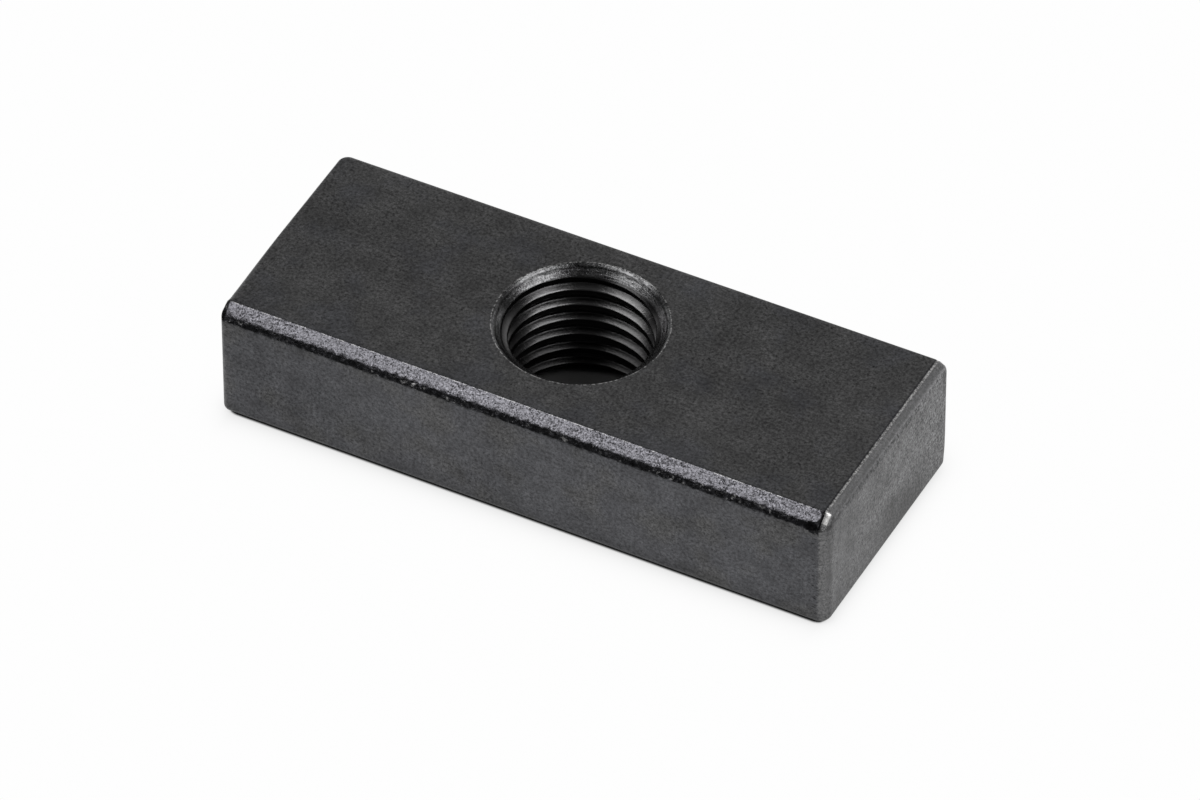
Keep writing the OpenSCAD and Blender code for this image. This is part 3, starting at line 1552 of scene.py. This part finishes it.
@dataclass(frozen=True)
class Studio:
    """White table, white sweep behind it, and a darker room on the camera's side.

    Attributes:
        floor_reach: Half the width of the table.
        floor_colour: Colour of the table.
        under_shade_colour: Painted shade: dark colour of the table under the nut and at its foot.
        paper: White of the background.
        sweep: Brightness of the room behind the nut.
        sweep_fall: How much sooner the sweep ends high up than at the horizon.
        sweep_side: How much sooner it ends to the sides.
        room: Brightness of the room on the camera's side.
        shadow_reach: Distance over which the shadow fades into the white background.
        shadow_share: How much of the shadow shows at the nut's foot.
        foot_round: Round at the nut's foot, under which the table can be seen.
        corner_round: Radius of the upright corners at the nut's foot.
        end_view: How much nearer to the ends the table comes into view than to the front.
        view_start: Share of the foot's round beyond which the table starts to be white.
        sweep_start: How far beyond the nut the sweep starts.
        sweep_full: How far beyond the nut it is full.
    """

    floor_reach: float = 3.0
    floor_colour: tuple[float, float, float, float] = (0.8, 0.8, 0.8, 1.0)
    under_shade_colour: tuple[float, float, float, float] = (0.10, 0.10, 0.10, 1.0)
    paper: float = 0.99
    sweep: float = 0.95
    sweep_fall: float = 0.5
    sweep_side: float = 0.3
    room: float = 0.10
    shadow_reach: float = 1.2 * MM
    shadow_share: float = 0.3
    foot_round: float = 0.9 * MM
    corner_round: float = 1.7 * MM
    end_view: float = 1.5
    view_start: float = 0.6
    sweep_start: float = -0.08
    sweep_full: float = 0.3

    def _sees_background(self, graph: ShaderGraph) -> Signal:
        """Returns 1 for rays that show the background, straight or in a reflection."""
        path = graph.node("ShaderNodeLightPath")
        camera = Signal(graph, path.outputs["Is Camera Ray"])
        glossy = Signal(graph, path.outputs["Is Glossy Ray"])
        return camera.greatest(glossy)

    def build_floor(self, low: Vector, high: Vector) -> bpy.types.Object:
        """Makes the table.

        Args:
            low: Lowest corner of what stands on it.
            high: Highest corner of what stands on it.

        Returns:
            The table.
        """
        reach = self.floor_reach
        corners = [(-reach, -reach), (reach, -reach), (reach, reach), (-reach, reach)]
        mesh = bpy.data.meshes.new("floor")
        mesh.from_pydata([(x, y, low.z) for x, y in corners], [], [(0, 1, 2, 3)])
        mesh.update()
        floor = bpy.data.objects.new("floor", mesh)
        bpy.context.scene.collection.objects.link(floor)

        material = bpy.data.materials.new("white_table")
        material.use_nodes = True
        graph = ShaderGraph(material.node_tree)
        place = graph.signal("ShaderNodeTexCoord", "Object")
        axes = graph.node("ShaderNodeSeparateXYZ", None, {0: place})
        beside = [
            Signal(graph, axes.outputs[axis]).size() - (high[axis] - self.corner_round)
            for axis in (0, 1)
        ]
        inner = self.corner_round - self.foot_round
        along_end = (beside[0] - inner).greatest(0.0) * (self.end_view - 1.0)
        corner = beside[0].greatest(0.0).reach(beside[1].greatest(0.0))
        away = (corner - inner).greatest(0.0) + along_end
        fade = graph.signal(
            "ShaderNodeMath",
            "Value",
            {"operation": "EXPONENT"},
            {0: (away - self.foot_round).greatest(0.0) * (-1.0 / self.shadow_reach)},
        )
        outside = away.step(self.view_start * self.foot_round, self.foot_round)
        white = self._sees_background(graph) * outside * (1.0 - fade * self.shadow_share)
        paper = graph.signal("ShaderNodeEmission", "Emission", None, {"Strength": self.paper})
        # Painted shade: the table is dark under the nut and at its foot.
        colour = graph.mix(outside, self.under_shade_colour, self.floor_colour)
        table = graph.signal("ShaderNodeBsdfDiffuse", "BSDF", None, {"Color": colour})
        mixed = graph.signal("ShaderNodeMixShader", "Shader", None, {0: white, 1: table, 2: paper})
        graph.node("ShaderNodeOutputMaterial", None, {"Surface": mixed})
        mesh.materials.append(material)
        return floor

    def build_world(self, view: Viewpoint) -> bpy.types.World:
        """Makes the surroundings: bright beyond the nut, dark on the camera's side.

        Args:
            view: The viewpoint that tells both sides apart.

        Returns:
            The world.
        """
        world = bpy.data.worlds.new("studio")
        world.use_nodes = True
        bpy.context.scene.world = world
        graph = ShaderGraph(world.node_tree)
        way = graph.signal("ShaderNodeTexCoord", "Generated")
        onward = (-math.sin(view.azimuth), math.cos(view.azimuth), -self.sweep_fall)
        sideways = (math.cos(view.azimuth), math.sin(view.azimuth), 0.0)
        ahead, aside = (
            graph.signal(
                "ShaderNodeVectorMath", "Value", {"operation": "DOT_PRODUCT"}, {0: way, 1: axis}
            )
            for axis in (onward, sideways)
        )
        behind = ahead - aside.size() * self.sweep_side
        lit = behind.step(self.sweep_start, self.sweep_full)
        level = lit * (self.sweep - self.room) + self.room
        camera = graph.signal("ShaderNodeLightPath", "Is Camera Ray")
        strength = level * (1.0 - camera) + camera * self.paper
        light = graph.signal("ShaderNodeBackground", "Background", None, {"Strength": strength})
        graph.node("ShaderNodeOutputWorld", None, {"Surface": light})
        return world


# ---------------------------------------------------------------------------------------


def main() -> None:
    """Builds the camera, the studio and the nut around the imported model."""
    logging.basicConfig(level=logging.INFO, format="%(name)s: %(message)s")
    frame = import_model()
    scene = bpy.context.scene
    scene.view_settings.view_transform = "Standard"

    low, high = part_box(NODE)
    mount = next(m for m in frame["record"]["mounts"] if m["kind"] == "threaded_hole")
    hole = Vector(mount["pos_m"])
    crest_radius = mount["dims"]["r_mm"] * MM

    view = Viewpoint()
    view.build(Vector((0.0, 0.0, high.z)))
    LOG.info("camera made")
    studio = Studio()
    studio.build_floor(low, high)
    studio.build_world(view)
    for lamp in (
        SoftBox("left_softbox", right=-0.63, ahead=-0.13, up=0.765, size=0.92, radiance=3.2),
        SoftBox("right_softbox", right=0.63, ahead=-0.30, up=0.73, size=0.94, radiance=3.5),
    ):
        lamp.build(view)
    LOG.info("studio made")

    nut = NutBody(low, high, hole, crest_radius).build()
    LOG.info("%s made: %d faces", nut.name, len(nut.data.polygons))


if __name__ == "__main__":
    main()
